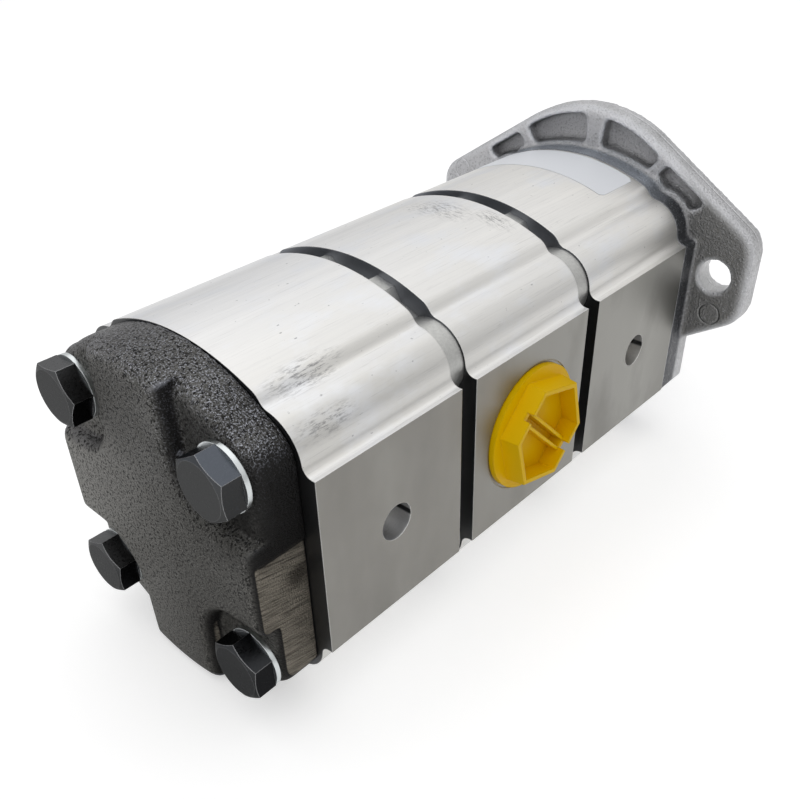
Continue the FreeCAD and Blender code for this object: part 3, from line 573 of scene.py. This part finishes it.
# Painted shade in the bolt pocket, off its upward faces.
pocket_shade_share = product(tree, near_spot(tree, place, *pocket_painted_shade), ramp(tree, facing_up, 1.0, 0.3))
iron = tint(tree, iron, iron_pits_and_painted_shade, pocket_shade_share, 0.85)

slanting = add_node(tree, "VectorRotate", {"Vector": place, "Angle": stroke_slant}, rotation_type="Y_AXIS")
along_strokes = stretched(tree, slanting.outputs[0], x=0.05)
strokes = noise(tree, along_strokes, per_millimetre=2.3, detail=4.0, rough=0.75)
ground = blend_colours(tree, ramp(tree, strokes, 0.36, 0.58), ground_dark, ground_light)
ground = tint(tree, ground, ground_dark, near_spot(tree, place, *darker_stroke_patch), 0.75)
ragged_height = calculate(tree, "ADD", z, product(tree, strokes, gate_ragged))
below_top = ramp(tree, ragged_height, *(gate_top + step for step in gate_fade))
gate = product(tree, ramp(tree, normal_y, -0.93, -0.98), below_top)
tree.links.new(blend_colours(tree, gate, iron, ground), shader.inputs["Base Color"])
raise_surface(tree, shader, calculate(tree, "ADD", grain, sand), distance=0.0004, strength=1.0)
dress(["rear_cover"], cast_iron)
soften_casting("rear_cover", rear_cover_voxel, rear_cover_rounds)

# Clamp bolts: four long hexagon-head bolts, hot forged, quenched and blackened.
# Their corners are rubbed bright, with painted highlight on them, and the lower pair is painted darker as
# shade.
oxide_black = (0.040, 0.041, 0.042, 1)
oxide_scale_and_painted_light = (0.075, 0.083, 0.097, 1)
oxide_painted_far_light = (0.150, 0.152, 0.155, 1)
oxide_painted_end_light = (0.085, 0.086, 0.086, 1)
oxide_painted_low_shade = (0.034, 0.035, 0.036, 1)
oxide_painted_side_shade = (0.011, 0.011, 0.012, 1)
oxide_wear_and_highlight = (0.42, 0.42, 0.43, 1)
bolt_corner = 0.00025
forged_rounding = 0.0003
near_to_far = (-10, 20)
lower_pair = (-15, -45)
nearer_pair = (45, -15)
lower_facets = (20, -30)
far_facets = (0, 20)

black_oxide, tree, shader = start_material("black_oxide", oxide_black, metallic=1.0, roughness=0.30)
shader.inputs["Specular Tint"].default_value = dark_metal_sheen
place = millimetres(tree)
_, y, z = three_parts(tree, place)
normal_x, normal_y, normal_z = surface_normal(tree)
scale_marks = noise(tree, place, per_millimetre=1.5, detail=4.0, rough=0.7)
# Painted light on the end faces of the heads and on the upward facets, more on the +Y side.
oxide_painted_top = blend_colours(tree, ramp(tree, y, *near_to_far), oxide_scale_and_painted_light, oxide_painted_far_light)
oxide = tint(tree, oxide_black, oxide_painted_end_light, ramp(tree, normal_x, -0.8, -0.95), 0.5)
oxide = tint(tree, oxide, oxide_painted_top, ramp(tree, normal_z, 0.1, 0.75))
# Painted shade on the lower bolts, the near one most.
oxide = tint(tree, oxide, oxide_painted_low_shade, product(tree, ramp(tree, z, *lower_pair), ramp(tree, y, *nearer_pair)))
# Painted shade on the facets turned towards -Y, on all but the upper -Y bolt.
shaded_facets = calculate(tree, "MAXIMUM", ramp(tree, z, *lower_facets), ramp(tree, y, *far_facets))
oxide = tint(tree, oxide, oxide_painted_side_shade, product(tree, ramp(tree, normal_y, -0.3, -0.9), shaded_facets), 0.8)
oxide = tint(tree, oxide, oxide_scale_and_painted_light, ramp(tree, scale_marks, 0.6, 0.75), 0.4)
# Rubbed bright corners, with painted highlight along them too.
oxide = tint(tree, oxide, oxide_wear_and_highlight, edge_wear_and_painted_light(tree, bolt_corner), 0.75)
tree.links.new(oxide, shader.inputs["Base Color"])
tree.links.new(ramp(tree, scale_marks, -0.45, 2.6), shader.inputs["Roughness"])
raise_surface(tree, shader, scale_marks, distance=0.00008, edge=forged_rounding)
dress(["clamp_bolts"], black_oxide)

# Washers: plain stamped washers under the bolt heads, bright zinc plated.
# Stamping leaves their rims slightly rounded.
zinc_bright = (0.62, 0.65, 0.655, 1)
stamped_rounding = 0.0003

bright_zinc, tree, shader = start_material("bright_zinc", zinc_bright, metallic=1.0, roughness=0.30)
plating = noise(tree, millimetres(tree), per_millimetre=3.0)
raise_surface(tree, shader, plating, distance=0.00003, edge=stamped_rounding)
dress(["bolt_washers"], bright_zinc)

# Gears, stub shafts, pins and spring ring: hardened steel, ground on the flanks and journals. Only the
# splined end of the front drive gear and the ring in front of the shaft seal show.
ground_grey = (0.56, 0.56, 0.57, 1)
ground_rounding = 0.0003

ground_steel, tree, shader = start_material("ground_steel", ground_grey, metallic=1.0, roughness=0.28)
place = millimetres(tree)
grinding = noise(tree, stretched(tree, place, x=6.0, y=0.3, z=0.3), per_millimetre=1.0)
raise_surface(tree, shader, grinding, distance=0.00001, edge=ground_rounding)
tree.links.new(ramp(tree, noise(tree, place, per_millimetre=0.3), -1.0, 2.2), shader.inputs["Roughness"])
dress(["front_drive_gear", "middle_drive_gear", "rear_drive_gear", "front_driven_gear", "middle_driven_gear",
       "rear_driven_gear", "front_coupling", "rear_coupling", "dowel_pins", "seal_retaining_ring"],
      ground_steel)

# Bearing blocks and bushes: machined aluminium blocks in each end of every gear chamber, with a
# rolled bronze-lined bush for each journal.
block_grey = (0.68, 0.68, 0.67, 1)
bush_bronze = (0.55, 0.36, 0.20, 1)
sections = ("rear", "middle", "front")

block_metal, tree, shader = start_material("bearing_aluminium", block_grey, metallic=1.0, roughness=0.35)
turned_place = stretched(tree, millimetres(tree), x=5.0, y=0.4, z=0.4)
turning = noise(tree, turned_place, per_millimetre=1.0, detail=2.0)
raise_surface(tree, shader, turning, distance=0.00001)
dress([section + "_section_" + end + "_block" for section in sections for end in ("rear", "front")],
      block_metal)
bronze, tree, shader = start_material("bush_bronze", bush_bronze, metallic=1.0, roughness=0.4)
raise_surface(tree, shader, noise(tree, millimetres(tree), per_millimetre=2.0), distance=0.00001)
dress([section + "_section_bushes" for section in sections], bronze)

# Seals: black nitrile rubber, moulded to shape and smooth from the mould.
# Only the shaft seal shows, in the pilot round the drive shaft.
rubber_black = (0.02, 0.02, 0.021, 1)

rubber, tree, shader = start_material("black_rubber", rubber_black, metallic=0.0, roughness=0.55)
raise_surface(tree, shader, noise(tree, millimetres(tree), per_millimetre=2.5), distance=0.00002)
dress([section + "_section_balance_seals" for section in sections] + ["joint_seals", "shaft_seal"], rubber)

# Port plug: injection-moulded yellow polyethylene, screwed into the suction port for transport.
# It is nearly matt, with the faint waves of a thin moulding.
plug_yellow = (0.80, 0.50, 0.0, 1)
plug_sheen = 0.08
moulded_rounding = 0.0005

yellow_plastic, tree, shader = start_material("yellow_plastic", plug_yellow, metallic=0.0, roughness=0.34)
shader.inputs["Specular IOR Level"].default_value = plug_sheen
waves = noise(tree, millimetres(tree), per_millimetre=0.5)
raise_surface(tree, shader, waves, distance=0.0001, strength=0.4, edge=moulded_rounding)
dress(["port_plug"], yellow_plastic)
